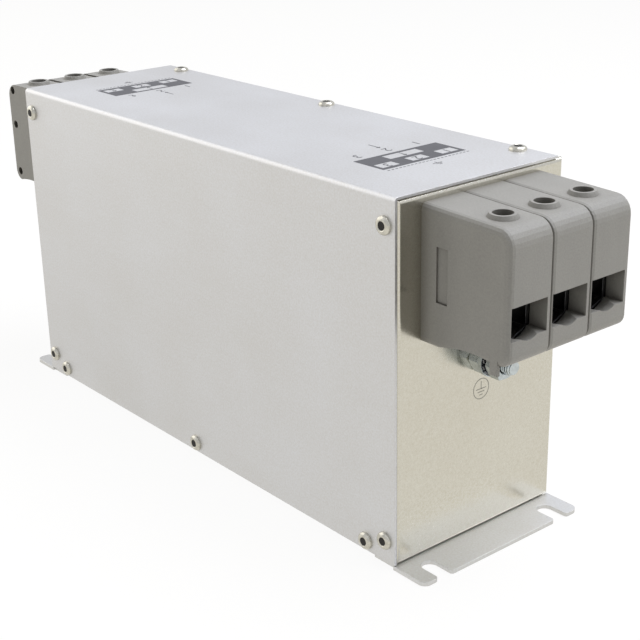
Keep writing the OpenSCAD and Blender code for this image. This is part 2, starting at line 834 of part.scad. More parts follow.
module earth_tooth_washers() {
    color("dimgray") for (end = [LINE, LOAD]) at_stud(end) difference() {
        rod_x(tooth_washer_x, outer_nut_x, tooth_r);
        rod_x(tooth_washer_x - 1, outer_nut_x + 1, stud_r + stud_fit);
        for (turn = [0 : tooth_turn : 359]) rotate([turn, 0, 0]) block(
            [tooth_washer_x - 1, -tooth_gap / 2, tooth_r - tooth_l],
            [outer_nut_x + 1, tooth_gap / 2, tooth_r + 1]
        );
    }
}

module earth_lead(end) {
    barrel_top = earth_z - lug_r - barrel_drop;
    wire_x = -skin_t - lap_gap - earth_barrel_r;
    color("yellowgreen") at_end(end) {
        translate([0, 0, earth_z]) difference() {
            rod_x(-skin_t - lug_t, -skin_t, lug_r);
            rod_x(-skin_t - lug_t - 1, -skin_t + 1, stud_r + stud_fit);
        }
        block([-skin_t - lug_t, -earth_barrel_r, barrel_top - barrel_h],
            [-skin_t, earth_barrel_r, earth_z - lug_r + 1]);
        translate([wire_x, 0, barrel_top - barrel_h]) cylinder(r = earth_barrel_r, h = barrel_h);
        tube_along(rounded_path([
            [wire_x, 0, barrel_top - barrel_h + 1], [wire_x, 0, earth_lead_z],
            [-board_back - pin_out, 0, earth_lead_z]
        ], earth_bend, 4), earth_lead_d / 2);
    }
}

// ---- choke ---------------------------------------------------------------------------------

module insulating_sheet() {
    color("ivory") block([-seam_end, -sheet_half_w, sheet_t], [seam_end, sheet_half_w, floor_z]);
}

module choke_cradle() {
    color("dimgray") {
        difference() {
            block([-cradle_l / 2, -cradle_w / 2, floor_z], [cradle_l / 2, cradle_w / 2, floor_z + cradle_h]);
            translate([0, 0, choke_z]) rod_x(-cradle_l, cradle_l, saddle_r);
        }
        difference() {
            block([-cradle_l / 2, -rib_w / 2, floor_z], [cradle_l / 2, rib_w / 2, choke_z - core_bore / 2]);
            translate([0, 0, choke_z]) rod_x(-cradle_l, cradle_l, core_d / 2 + cradle_gap);
        }
    }
}

// Ring between two radii round the choke's axis
module choke_ring(x0, x1, inner_r, outer_r) {
    translate([0, 0, choke_z]) difference() {
        rod_x(x0, x1, outer_r);
        rod_x(x0 - 1, x1 + 1, inner_r);
    }
}

module choke_core() {
    shell = core_wall + core_gap;
    color("darkslategray") choke_ring(
        -core_l / 2 + shell, core_l / 2 - shell, core_bore / 2 + shell, core_d / 2 - shell
    );
}

module core_tray() {
    rim_x = core_l / 2 - core_wall;
    color("white") {
        choke_ring(-core_l / 2, -rim_x + eps, core_bore / 2, core_d / 2);
        choke_ring(-rim_x, rim_x, core_bore / 2, core_bore / 2 + core_wall);
        choke_ring(-rim_x, rim_x, core_d / 2 - core_wall, core_d / 2);
    }
}

module core_lid() {
    color("white") choke_ring(core_l / 2 - core_wall, core_l / 2, core_bore / 2, core_d / 2);
}

module winding_divider() {
    reach = core_bore / 2 - cradle_gap;
    color("linen") translate([0, 0, choke_z]) for (turn = [30, 150, 270]) rotate([turn, 0, 0])
        block([-core_l / 2, -divider_t / 2, -divider_t / 2], [core_l / 2, reach, divider_t / 2]);
}

// Point on the choke at a place along its axis, a radius and an angle from +y towards +z
function coil_point(x, r, a) = [x, r * cos(a), choke_z + r * sin(a)];

// One pole's turns from the end at -x to the end at +x
function coil_path(mid, turn) = [
    for (k = [0 : turns])
        let (
            a = mid + turn * (k - turns / 2) * turn_step,
            b = a + turn * turn_step / 2
        )
        for (p = concat(
            [coil_point(-coil_x, coil_out_r, a), coil_point(coil_x, coil_out_r, a)],
            k < turns ? [coil_point(coil_x, coil_in_r, b), coil_point(-coil_x, coil_in_r, b)] : []
        )) p
];

// Lead from the end of the bar at -x down to one pole's first turn
function lead_path(pole) =
    let (
        y = (2 - pole) * pole_pitch,
        x = pole == 2 ? inner_riser_x : riser_x,
        a = sector_mid[pole - 1] - sector_turn[pole - 1] * turns / 2 * turn_step
    )
    [
        [-lead_end, y, lead_z], [-x, y, lead_z], [-x, y, choke_z + lead_rise[pole - 1]],
        coil_point(-coil_x - lead_run_in, coil_out_r, a)
    ];

// A list of points the other way round and turned half round the z axis
function turned_back(p) = [for (i = [len(p) - 1 : -1 : 0]) [-p[i].x, -p[i].y, p[i].z]];

module winding(pole) {
    path = concat(
        lead_path(pole),
        coil_path(sector_mid[pole - 1], sector_turn[pole - 1]),
        turned_back(lead_path(4 - pole))
    );
    color("chocolate") tube_along(rounded_path(path, wire_bend, 3), wire_r);
}

// ---- boards --------------------------------------------------------------------------------

// Places of the leads in a board as [y, z]
function xcap_pins() = [for (k = [-1, 0, 1], side = [-1, 1])
    [k * xcap_pitch, xcap_z + xcap_h / 2 + side * xcap_pin / 2]];
function ycap_pins() = [for (side = [-1, 1]) [side * ycap_pin / 2, ycap_z + ycap_h / 2]];
function resistor_pins() = [for (k = [-1, 0, 1], side = [-1, 1])
    [k * pole_pitch + side * resistor_pitch / 2, resistor_z]];

// Tinned lead through the board
module board_lead(at) {
    translate([0, at.x, at.y]) rod_x(-board_back - resistor_d / 2, -board_in + pin_out, lead_r);
}

module board(end) {
    color("darkolivegreen") at_end(end) difference() {
        block([-board_back, -board_half_w, floor_z], [-board_in, board_half_w, board_top]);
        for (pole = POLES) translate([0, (pole - 2) * pole_pitch, 0]) block(
            [-board_back - 1, -bar_w / 2 - 2 * bar_fit, bar_low - 2 * bar_fit],
            [-board_in + 1, bar_w / 2 + 2 * bar_fit, bar_top + 2 * bar_fit]
        );
        for (at = concat(xcap_pins(), ycap_pins(), end == LINE ? resistor_pins() : []))
            translate([0, at.x, at.y]) rod_x(-board_back - 1, -board_in + 1, lead_r + lead_fit);
        translate([0, 0, earth_lead_z]) rod_x(-board_back - 1, -board_in + 1, earth_lead_d / 2 + lead_fit);
    }
}

module phase_capacitor(end, pole) {
    y = (2 - pole) * xcap_pitch;
    color("gold") at_end(end) {
        block([-board_back - xcap_depth, end * y - xcap_w / 2, xcap_z],
            [-board_back, end * y + xcap_w / 2, xcap_z + xcap_h]);
        for (at = xcap_pins()) if (at.x == end * y) board_lead(at);
    }
}

module earth_capacitor(end) {
    color("royalblue") at_end(end) {
        block([-board_back - ycap_depth, -ycap_w / 2, ycap_z], [-board_back, ycap_w / 2, ycap_z + ycap_h]);
        for (at = ycap_pins()) board_lead(at);
    }
}

module bleed_resistors() {
    body_x = -board_back - resistor_d / 2;
    color("tan") at_end(LINE) {
        for (pole = POLES) translate([body_x, (pole - 2) * pole_pitch, resistor_z]) {
            rod_y(-resistor_l / 2, resistor_l / 2, resistor_d / 2);
            rod_y(-resistor_pitch / 2 - lead_r, resistor_pitch / 2 + lead_r, lead_r);
        }
        for (at = resistor_pins()) board_lead(at);
    }
}

// ---- assembly ------------------------------------------------------------------------------

base_tray();
cover();
cover_rivets();
back_rivets();
top_rivets();
earth_bolts();
earth_nuts();
earth_washers();
earth_tooth_washers();
insulating_sheet();
choke_cradle();
choke_core();
core_tray();
core_lid();
winding_divider();
bleed_resistors();
for (pole = POLES) winding(pole);
for (end = [LINE, LOAD]) {
    end_wall(end);
    earth_lead(end);
    board(end);
    earth_capacitor(end);
}
for (end = [LINE, LOAD], pole = POLES) {
    place = str(end_name(end), "_", pole);
    terminal_housing(end, pole);
    clamp_cage(end, pole);
    clamp_screw(end, pole);
    current_bar(end, pole);
    phase_capacitor(end, pole);
}
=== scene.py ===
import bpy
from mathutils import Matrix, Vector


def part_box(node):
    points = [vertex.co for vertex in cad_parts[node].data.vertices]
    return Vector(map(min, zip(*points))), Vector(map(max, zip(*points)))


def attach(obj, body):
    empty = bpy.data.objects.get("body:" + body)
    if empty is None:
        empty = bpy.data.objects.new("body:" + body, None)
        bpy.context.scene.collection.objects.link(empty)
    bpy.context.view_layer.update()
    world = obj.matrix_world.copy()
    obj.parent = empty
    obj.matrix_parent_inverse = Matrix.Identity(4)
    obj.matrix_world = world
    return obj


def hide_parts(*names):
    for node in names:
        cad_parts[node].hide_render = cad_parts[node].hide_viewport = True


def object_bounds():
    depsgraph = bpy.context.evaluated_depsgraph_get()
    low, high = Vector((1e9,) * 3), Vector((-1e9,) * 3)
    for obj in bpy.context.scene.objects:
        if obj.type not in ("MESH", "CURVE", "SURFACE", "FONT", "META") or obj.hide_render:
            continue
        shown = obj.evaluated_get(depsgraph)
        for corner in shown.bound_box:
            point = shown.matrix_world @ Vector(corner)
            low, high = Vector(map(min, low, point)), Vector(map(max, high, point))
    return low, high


bl_info = {
    "name": "Three-phase power line filter",
    "version": (1, 0, 0),
    "blender": (4, 5, 0),
    "location": "View3D > Sidebar > Line filter",
    "description": "Finishes, print, studs and stage for a power line filter in a sheet-metal case",
    "category": "Object",
}

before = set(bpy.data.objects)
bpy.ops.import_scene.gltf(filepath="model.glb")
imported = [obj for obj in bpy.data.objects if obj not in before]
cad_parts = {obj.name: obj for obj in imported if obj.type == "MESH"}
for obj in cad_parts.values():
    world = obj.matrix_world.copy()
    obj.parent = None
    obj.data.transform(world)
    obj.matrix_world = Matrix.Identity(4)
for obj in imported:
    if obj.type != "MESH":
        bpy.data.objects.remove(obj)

import math

import bmesh
import bpy
from bpy.props import FloatProperty, FloatVectorProperty, IntProperty, PointerProperty
from bpy.types import Operator, Panel, PropertyGroup
from mathutils import Matrix, Vector

CAD_BOUNDS = [list(corner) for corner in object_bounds()]
ENDS = {"line": -1, "load": 1}
POLES = (1, 2, 3)
MM = 0.001
MERGE = 1e-6        # points closer than this become one
EDGE_SAMPLES = 6    # rays that round an edge's shading
PAINTED_SHADE_SAMPLES = 8  # rays that tell how open a spot is
DIGIT_SHARE = 0.73  # height of a digit at a text size of 1


# ---- node trees ----------------------------------------------------------------------------

class Signal:
    """A node's output that takes part in Python sums, which add the Math nodes they need."""

    def __init__(self, graph, node, output=0):
        self.graph = graph
        self.node = node
        self.socket = node.outputs[output] if node.outputs else None

    def other(self, output):
        """Another output of the same node."""
        return Signal(self.graph, self.node, output)

    def math(self, operation, *terms):
        return self.graph.node("ShaderNodeMath", {"operation": operation}, dict(enumerate(terms)))

    def __add__(self, other):
        return self.math("ADD", self, other)

    def __sub__(self, other):
        return self.math("SUBTRACT", self, other)

    def __rsub__(self, other):
        return self.math("SUBTRACT", other, self)

    def __mul__(self, other):
        return self.math("MULTIPLY", self, other)

    def __truediv__(self, other):
        return self.math("DIVIDE", self, other)

    def __rtruediv__(self, other):
        return self.math("DIVIDE", other, self)

    __radd__ = __add__
    __rmul__ = __mul__


class Graph:
    """A node tree being built, with one method that adds any node."""

    def __init__(self, tree):
        self.tree = tree
        tree.nodes.clear()

    def node(self, kind, settings=None, inputs=None, output=0):
        made = self.tree.nodes.new(kind)
        for name, value in (settings or {}).items():
            if name == "stops":
                set_stops(made.color_ramp, value)
            else:
                setattr(made, name, value)
        for name, value in (inputs or {}).items():
            self.feed(made.inputs[name], value)
        return Signal(self, made, output)

    def feed(self, socket, value):
        if isinstance(value, Signal):
            self.tree.links.new(value.socket, socket)
        else:
            socket.default_value = value


def set_stops(ramp, stops):
    """Gives a colour ramp its stops, each a position and a grey level."""
    while len(ramp.elements) < len(stops):
        ramp.elements.new(1.0)
    for element, (position, level) in zip(ramp.elements, stops):
        element.position = position
        element.color = (level, level, level, 1)


class Finish(Graph):
    """A material being built on Object coordinates, in metres."""

    def __init__(self, name):
        self.material = bpy.data.materials.new(name)
        self.material.use_nodes = True
        super().__init__(self.material.node_tree)
        self.place = self.node("ShaderNodeTexCoord", output="Object")

    def noise(self, size, detail=2, stretch=(1, 1, 1)):
        """Noise from 0 to 1 with features of one size."""
        at = self.node("ShaderNodeMapping", None, {"Vector": self.place, "Scale": stretch})
        return self.node("ShaderNodeTexNoise", None, {
            "Vector": at, "Scale": 1 / size, "Detail": detail})

    def ramp(self, value, *stops):
        return self.node("ShaderNodeValToRGB", {"stops": stops}, {"Fac": value})

    def mix(self, factor, one, other):
        """Colour that goes from one to other as factor goes from 0 to 1."""
        colours = {0: factor, 6: opaque(one), 7: opaque(other)}
        return self.node("ShaderNodeMix", {"data_type": "RGBA"}, colours, output=2)

    def shaded(self, pattern, colour, dark, light):
        """Colour that goes from dark to light times itself as a pattern goes from 0 to 1."""
        return self.mix(pattern, scaled(colour, dark), scaled(colour, light))

    def surface(self, colour, roughness, height, depth, edge=0.0, **fixed):
        """Ends the material: height raises bumps of some depth, and edge rounds the corners."""
        bumps = {"Height": height, "Distance": depth, "Strength": 1.0}
        if edge:
            bumps["Normal"] = self.node(
                "ShaderNodeBevel", {"samples": EDGE_SAMPLES}, {"Radius": edge})
        inputs = {"Base Color": opaque(colour), "Roughness": roughness}
        inputs.update({name.replace("_", " ").title(): value for name, value in fixed.items()})
        inputs["Normal"] = self.node("ShaderNodeBump", None, bumps)
        shader = self.node("ShaderNodeBsdfPrincipled", None, inputs)
        self.node("ShaderNodeOutputMaterial", None, {"Surface": shader})
        return self.material


def opaque(colour):
    """A colour with its alpha, or a signal as it is."""
    return colour if isinstance(colour, Signal) else (*tuple(colour)[:3], 1)


def scaled(colour, factor):
    return tinted(colour, (factor, factor, factor))


def tinted(colour, tint):
    return tuple(min(1, c * t) for c, t in zip(tuple(colour)[:3], tint))


def swing(pattern, amount):
    """Goes half the amount below and above 0 as a pattern goes from 0 to 1."""
    return amount * (pattern - 0.5)


# ---- finishes ------------------------------------------------------------------------------

def rolled_sheet(name, colour, roughness, grain):
    """Tinned sheet steel: fine pitting, faint streaks along the roll and a slow change of tone."""
    finish = Finish(name)
    pits = finish.noise(grain, detail=3)
    streaks = finish.noise(6 * MM, detail=3, stretch=(0.12, 1, 1.6))
    clouds = finish.noise(45 * MM)
    tone = 0.66 * pits + 0.06 * streaks + 0.28 * clouds
    wander = 0.075
    warm = scaled(tinted(colour, (1.0, 0.99, 0.965)), 1 - wander)
    cool = scaled(tinted(colour, (0.985, 1.0, 1.02)), 1 + wander)
    shade = finish.mix(finish.ramp(tone, (0.32, 0), (0.68, 1)), warm, cool)
    return finish.surface(
        shade, roughness + swing(clouds, 0.10) + swing(pits, 0.08),
        height=pits + 0.05 * streaks, depth=0.016 * MM, edge=0.25 * MM, metallic=1.0,
    )


def moulded_plastic(name, colour):
    """Glass-filled moulding: fine spark-eroded texture, slight flow marks and shade painted darker
    wherever a spot is closed in.
    """
    finish = Finish(name)
    texture = finish.noise(0.6 * MM, detail=3)
    flow = finish.noise(11 * MM, detail=3, stretch=(1, 1, 0.45))
    pattern = finish.ramp(0.65 * texture + 0.35 * flow, (0.32, 0), (0.68, 1))
    outside = finish.shaded(pattern, colour, dark=0.90, light=1.09)
    # painted shade: the colour turns dark and warm in holes, seams and corners, by how open each
    # spot is
    painted_recess_shade = scaled(tinted(colour, (1, 0.94, 0.85)), 0.3)
    openness = finish.node(
        "ShaderNodeAmbientOcclusion", {"samples": PAINTED_SHADE_SAMPLES}, {"Distance": 7 * MM},
        output="AO")
    shade = finish.mix(finish.ramp(openness, (0.3, 0), (0.92, 1)), painted_recess_shade, outside)
    return finish.surface(
        shade, 0.52 + swing(flow, 0.12), height=texture, depth=0.03 * MM, edge=0.15 * MM)


def plated(name, colour, roughness, edge=0.12 * MM, worn=0.10):
    """Plated metal with a thin cloudy bloom and bright edges."""
    finish = Finish(name)
    bloom = finish.noise(1.6 * MM, detail=4)
    scuffs = finish.noise(0.25 * MM, stretch=(1, 1, 3))
    pattern = finish.ramp(bloom, (0.35, 0), (0.65, 1))
    return finish.surface(
        finish.shaded(pattern, colour, dark=1 - worn, light=1 + worn),
        roughness + swing(bloom, 0.25) + swing(scuffs, 0.12),
        height=scuffs, depth=0.006 * MM, edge=edge, metallic=1.0,
    )


def print_ink(name, colour):
    """Screen-printed ink that lets a little of the sheet through."""
    finish = Finish(name)
    mesh = finish.noise(0.3 * MM)
    thin = finish.noise(7 * MM)
    pattern = finish.ramp(0.5 * mesh + 0.5 * thin, (0.35, 0), (0.75, 1))
    return finish.surface(
        finish.shaded(pattern, colour, dark=0.85, light=1.35), 0.55 + swing(mesh, 0.1),
        height=mesh, depth=0.004 * MM,
    )


def enamelled_wire(name, colour):
    """Copper wire under a thin coat of enamel, a little uneven along its turns."""
    finish = Finish(name)
    drift = finish.noise(5 * MM, detail=3)
    return finish.surface(
        finish.shaded(drift, colour, dark=0.8, light=1.25), 0.3 + swing(drift, 0.15),
        height=drift, depth=0.02 * MM, metallic=0.85, coat_weight=0.5,
    )


def sintered(name, colour):
    """Pressed and fired ferrite with fine pores."""
    finish = Finish(name)
    pores = finish.noise(0.5 * MM, detail=5)
    return finish.surface(
        finish.shaded(pores, colour, dark=0.7, light=1.4), 0.7 + swing(pores, 0.2),
        height=pores, depth=0.05 * MM,
    )


def plain_polymer(name, colour, roughness, texture=0.6 * MM):
    """Moulded case, film or sleeve with a soft texture."""
    finish = Finish(name)
    skin = finish.noise(texture, detail=3)
    drift = finish.noise(14 * MM)
    return finish.surface(
        finish.shaded(0.5 * skin + 0.5 * drift, colour, dark=0.9, light=1.1),
        roughness + swing(skin, 0.15), height=skin, depth=0.015 * MM,
    )


def lacquered_board(name, colour):
    """Laminate whose glass weave shows through the lacquer."""
    finish = Finish(name)
    threads = [
        finish.node("ShaderNodeTexWave", {"bands_direction": axis}, {
            "Vector": finish.place, "Scale": 0.3 / MM})
        for axis in "YZ"
    ]
    weave = 0.5 * threads[0] + 0.5 * threads[1]
    return finish.surface(
        finish.shaded(weave, colour, dark=0.85, light=1.2), 0.35,
        height=weave, depth=0.01 * MM, coat_weight=0.4,
    )


def put_on(material, *nodes):
    """Gives CAD nodes a material in every slot they have."""
    for name in nodes:
        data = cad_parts[name].data
        data.materials.clear()
        data.materials.append(material)
        data.polygons.foreach_set("material_index", [0] * len(data.polygons))


# ---- shapes --------------------------------------------------------------------------------

def solids(node):
    """The points of each separate solid in a CAD node, in the order of their lowest corners."""
    shape = bmesh.new()
    shape.from_mesh(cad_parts[node].data)
    bmesh.ops.remove_doubles(shape, verts=shape.verts, dist=MERGE)
    left = set(shape.verts)
    groups = []
    while left:
        group, reached = set(), [left.pop()]
        while reached:
            vert = reached.pop()
            group.add(vert)
            near = {edge.other_vert(vert) for edge in vert.link_edges} & left
            left -= near
            reached.extend(near)
        groups.append([vert.co.copy() for vert in group])
    shape.free()
    return sorted(groups, key=lambda points: tuple(box_of(points)[0]))


def box_of(points):
    """The lowest and highest corner of some points."""
    return Vector(map(min, zip(*points))), Vector(map(max, zip(*points)))


def from_axis(point, middle):
    """Distance of a point from the line along x through the middle."""
    return math.hypot(point.y - middle.y, point.z - middle.z)


def add_piece(name, mesh, material):
    """Puts a finished mesh in the scene as a piece of the filter."""
    mesh.materials.clear()
    mesh.materials.append(material)
    piece = bpy.data.objects.new(name, mesh)
    bpy.context.scene.collection.objects.link(piece)
    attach(piece, "root")
    return piece


def mesh_of(shape, name, turn_out=True):
    """Makes a bmesh a mesh, after its shells are closed and turned outwards where asked."""
    if turn_out:
        bmesh.ops.remove_doubles(shape, verts=shape.verts, dist=MERGE)
        bmesh.ops.recalc_face_normals(shape, faces=shape.faces)
    mesh = bpy.data.meshes.new(name)
    shape.to_mesh(mesh)
    shape.free()
    return mesh


def grown(graph, name, inputs):
    """Evaluates a Geometry Nodes tree, with its inputs set, into a plain mesh."""
    carrier = bpy.data.objects.new(name + "_carrier", bpy.data.meshes.new(name + "_carrier"))
    bpy.context.scene.collection.objects.link(carrier)
    modifier = carrier.modifiers.new(name, "NODES")
    modifier.node_group = graph.tree
    sockets = {item.name: item.identifier for item in graph.tree.interface.items_tree}
    for label, value in inputs.items():
        modifier[sockets[label]] = value
    seen = carrier.evaluated_get(bpy.context.evaluated_depsgraph_get())
    mesh = bpy.data.meshes.new_from_object(seen)
    carrier.modifiers.remove(modifier)
    bpy.data.objects.remove(carrier)
    if not mesh.polygons:
        raise RuntimeError(name + " came out empty")
    mesh.name = name
    return mesh


class Shape(Graph):
    """A Geometry Nodes tree with named inputs and one mesh as its result."""

    def __init__(self, name, sizes, counts=()):
        tree = bpy.data.node_groups.new(name, "GeometryNodeTree")
        super().__init__(tree)
        for label in sizes:
            tree.interface.new_socket(name=label, in_out="INPUT", socket_type="NodeSocketFloat")
        for label in counts:
            tree.interface.new_socket(name=label, in_out="INPUT", socket_type="NodeSocketInt")
        tree.interface.new_socket(name="Mesh", in_out="OUTPUT", socket_type="NodeSocketGeometry")
        self.inputs = tree.nodes.new("NodeGroupInput")

    def given(self, label):
        return Signal(self, self.inputs, label)

    def vector(self, x=0.0, y=0.0, z=0.0):
        return self.node("ShaderNodeCombineXYZ", None, {"X": x, "Y": y, "Z": z})

    def moved(self, mesh, **how):
        inputs = {name.title(): value for name, value in how.items()}
        return self.node("GeometryNodeTransform", None, {"Geometry": mesh, **inputs})

    def joined(self, *meshes):
        join = self.tree.nodes.new("GeometryNodeJoinGeometry")
        for mesh in meshes:
            self.tree.links.new(mesh.socket, join.inputs[0])
        return Signal(self, join)

    def finish(self, mesh, material):
        real = self.node("GeometryNodeRealizeInstances", None, {0: mesh})
        made = self.node("GeometryNodeSetMaterial", None, {"Geometry": real, "Material": material})
        self.tree.links.new(made.socket, self.tree.nodes.new("NodeGroupOutput").inputs[0])


def plate_with_windows(shape, low, high, windows, thickness):
    """Thin plate on z = 0 between two (x, y) corners, with rectangular windows through it."""
    xs = sorted({low[0], high[0], *(x for w in windows for x in (w[0], w[2]))})
    ys = sorted({low[1], high[1], *(y for w in windows for y in (w[1], w[3]))})
    grid = {(x, y): shape.verts.new((x, y, 0)) for x in xs for y in ys}
    faces = []
    for x0, x1 in zip(xs, xs[1:]):
        for y0, y1 in zip(ys, ys[1:]):
            x, y = (x0 + x1) / 2, (y0 + y1) / 2
            if not any(w[0] < x < w[2] and w[1] < y < w[3] for w in windows):
                corners = [(x0, y0), (x1, y0), (x1, y1), (x0, y1)]
                faces.append(shape.faces.new([grid[corner] for corner in corners]))
    for vert in grid.values():
        if not vert.link_faces:
            shape.verts.remove(vert)
    raise_faces(shape, faces, thickness)


def raise_faces(shape, faces, thickness):
    """Gives flat faces a thickness along z, with closed sides and both covers."""
    rim = [edge.verts[:] for face in faces for edge in face.edges if len(edge.link_faces) == 1]
    top = {}
    for face in faces:
        for vert in face.verts:
            if vert not in top:
                top[vert] = shape.verts.new(vert.co + Vector((0, 0, thickness)))
        shape.faces.new([top[vert] for vert in face.verts])
    for one, other in rim:
        shape.faces.new((one, other, top[other], top[one]))


def flat_shape(shape, outline, thickness):
    """Thin plate on z = 0 with a straight-sided outline of (x, y) corners."""
    face = shape.faces.new([shape.verts.new((*corner, 0)) for corner in outline])
    raise_faces(shape, [face], thickness)


def bar(shape, low, high, thickness):
    """Thin rectangle on z = 0 between two (x, y) corners."""
    (x0, y0), (x1, y1) = low, high
    flat_shape(shape, [(x0, y0), (x1, y0), (x1, y1), (x0, y1)], thickness)


def numeral(shape, text, height, thickness, place):
    """A plain number, its foot towards -y, centred at the origin and then put in its place."""
    curve = bpy.data.curves.new("numeral", "FONT")
    curve.body = text
    curve.size = height / DIGIT_SHARE
    curve.align_x = "CENTER"
    curve.align_y = "CENTER"
    curve.extrude = thickness / 2
    letter = bpy.data.objects.new("numeral", curve)
    bpy.context.scene.collection.objects.link(letter)
    seen = letter.evaluated_get(bpy.context.evaluated_depsgraph_get())
    mesh = bpy.data.meshes.new_from_object(seen)
    bpy.data.objects.remove(letter)
    mesh.transform(place)
    shape.from_mesh(mesh)
    bpy.data.meshes.remove(mesh)


def close_rings(shape, rings):
    """Joins rings of vertices, the last one to the first."""
    for ring, following in zip(rings, rings[1:] + rings[:1]):
        for k in range(len(ring)):
            shape.faces.new((ring[k - 1], ring[k], following[k], following[k - 1]))


def ring_plate(shape, inner, outer, thickness, steps):
    """Flat ring with closed sides, from z = 0 up."""
    angles = [2 * math.pi * k / steps for k in range(steps)]
    rings = [
        [shape.verts.new((radius * math.cos(a), radius * math.sin(a), z)) for a in angles]
        for radius, z in ((inner, 0), (outer, 0), (outer, thickness), (inner, thickness))
    ]
    close_rings(shape, rings)


# ---- settings ------------------------------------------------------------------------------

def colour_of(label, description, default):
    return FloatVectorProperty(
        name=label, description=description, default=default, subtype="COLOR", min=0, max=1)


def length_of(label, description, default):
    return FloatProperty(
        name=label, description=description, default=default, unit="LENGTH", precision=5)


def share_of(label, description, default):
    return FloatProperty(
        name=label, description=description, default=default, subtype="FACTOR", min=0, max=1)


def angle_of(label, description, degrees):
    return FloatProperty(
        name=label, description=description, default=math.radians(degrees), subtype="ANGLE")


def power_of(label, description, default):
    return FloatProperty(
        name=label, description=description, default=default, unit="POWER", min=0)


class FilterFinishes(PropertyGroup):
    cover: colour_of("Cover", "Colour of the cover's sheet", (0.65, 0.645, 0.64))
    tray: colour_of("Tray", "Colour of the base tray's sheet", (0.66, 0.655, 0.64))
    wall: colour_of("End walls", "Colour of the end walls' sheet", (0.625, 0.60, 0.52))
    moulding: colour_of("Terminals", "Colour of the terminal housings", (0.352, 0.341, 0.307))
    rivet: colour_of("Rivets", "Colour of the blind rivets", (0.56, 0.54, 0.47))
    # A blind rivet keeps its mandrel, but this near-black colour paints the shade inside the
    # rivet's hole.
    mandrel: colour_of("Mandrels", "Colour of the pins left in the rivets", (0.045, 0.043, 0.04))
    # The cages' colour is darker than plated steel, to paint the shade inside the terminals' wire
    # chambers.
    cage: colour_of("Cages", "Colour of the clamps' dark steel cages", (0.13, 0.13, 0.135))
    bars: colour_of("Bars", "Colour of the tinned current bars", (0.58, 0.56, 0.51))
    zinc: colour_of("Studs", "Colour of the zinc-plated studs", (0.52, 0.565, 0.575))
    teeth: colour_of("Toothed washers", "Colour of the toothed washers", (0.26, 0.26, 0.27))
    # The earth signs' grey paints the shade in the grooves of the stamped signs.
    stamp: colour_of("Earth signs", "Colour of the stamped earth signs", (0.34, 0.33, 0.29))
    cover_roughness: share_of("Cover roughness", "How matt the cover and the tray are", 0.48)
    wall_roughness: share_of("Wall roughness", "How matt the end walls are", 0.24)
    grain: length_of("Grain", "Size of the pits in the sheet", 0.7 * MM)


class FilterInside(PropertyGroup):
    core: colour_of("Core", "Colour of the ferrite core", (0.06, 0.06, 0.065))
    core_case: colour_of("Core case", "Colour of the core's tray and lid", (0.76, 0.74, 0.66))
    divider: colour_of("Divider", "Colour of the fibre between windings", (0.70, 0.66, 0.54))
    copper: colour_of("Windings", "Colour of the enamelled wire", (0.48, 0.17, 0.06))
    cradle: colour_of("Cradle", "Colour of the cradle under the choke", (0.03, 0.03, 0.032))
    liner: colour_of("Liner", "Colour of the sheet on the floor", (0.78, 0.76, 0.64))
    sleeve: colour_of("Earth leads", "Colour of the earth leads", (0.35, 0.50, 0.05))
    board: colour_of("Boards", "Colour of the laminate", (0.05, 0.20, 0.07))
    phase_case: colour_of("Phase capacitors", "Colour of their cases", (0.62, 0.44, 0.05))
    earth_case: colour_of("Earth capacitors", "Colour of their cases", (0.05, 0.14, 0.42))
    resistor: colour_of("Resistors", "Colour of the resistors' lacquer", (0.60, 0.48, 0.30))


class FilterPrint(PropertyGroup):
    ink: colour_of("Ink", "Colour of the print", (0.085, 0.085, 0.09))
    layer: length_of("Layer", "Thickness of the printed layer", 0.03 * MM)
    band_start: length_of("Band start", "Distance of each band from the middle", 77 * MM)
    band_depth: length_of("Band depth", "Size of each band along the case", 15.5 * MM)
    band_width: length_of("Band width", "Size of each band across the case", 39.5 * MM)
    field_depth: length_of("Field depth", "Size of a light field along the case", 4.8 * MM)
    field_width: length_of("Field width", "Size of a light field across the case", 8.0 * MM)
    field_pitch: length_of("Field pitch", "Distance between neighbouring light fields", 14.2 * MM)
    number_height: length_of("Number height", "Height of the printed numbers", 4.2 * MM)
    dash_line: length_of("Dash line", "Thickness of the dashed line's stroke", 0.45 * MM)
    dash_count: IntProperty(
        name="Dashes", description="Dashes in the line beside each band", default=22, min=2)


class FilterStuds(PropertyGroup):
    pitch: length_of("Thread pitch", "Distance from one turn of the thread to the next", 1 * MM)
    chamfer: angle_of("Chamfer", "Angle of the nuts' chamfers", 30)
    teeth: IntProperty(
        name="Teeth", description="Teeth of each toothed washer", default=14, min=6)
    twist: angle_of("Tooth twist", "How far each tooth is turned out of the washer's plane", 28)


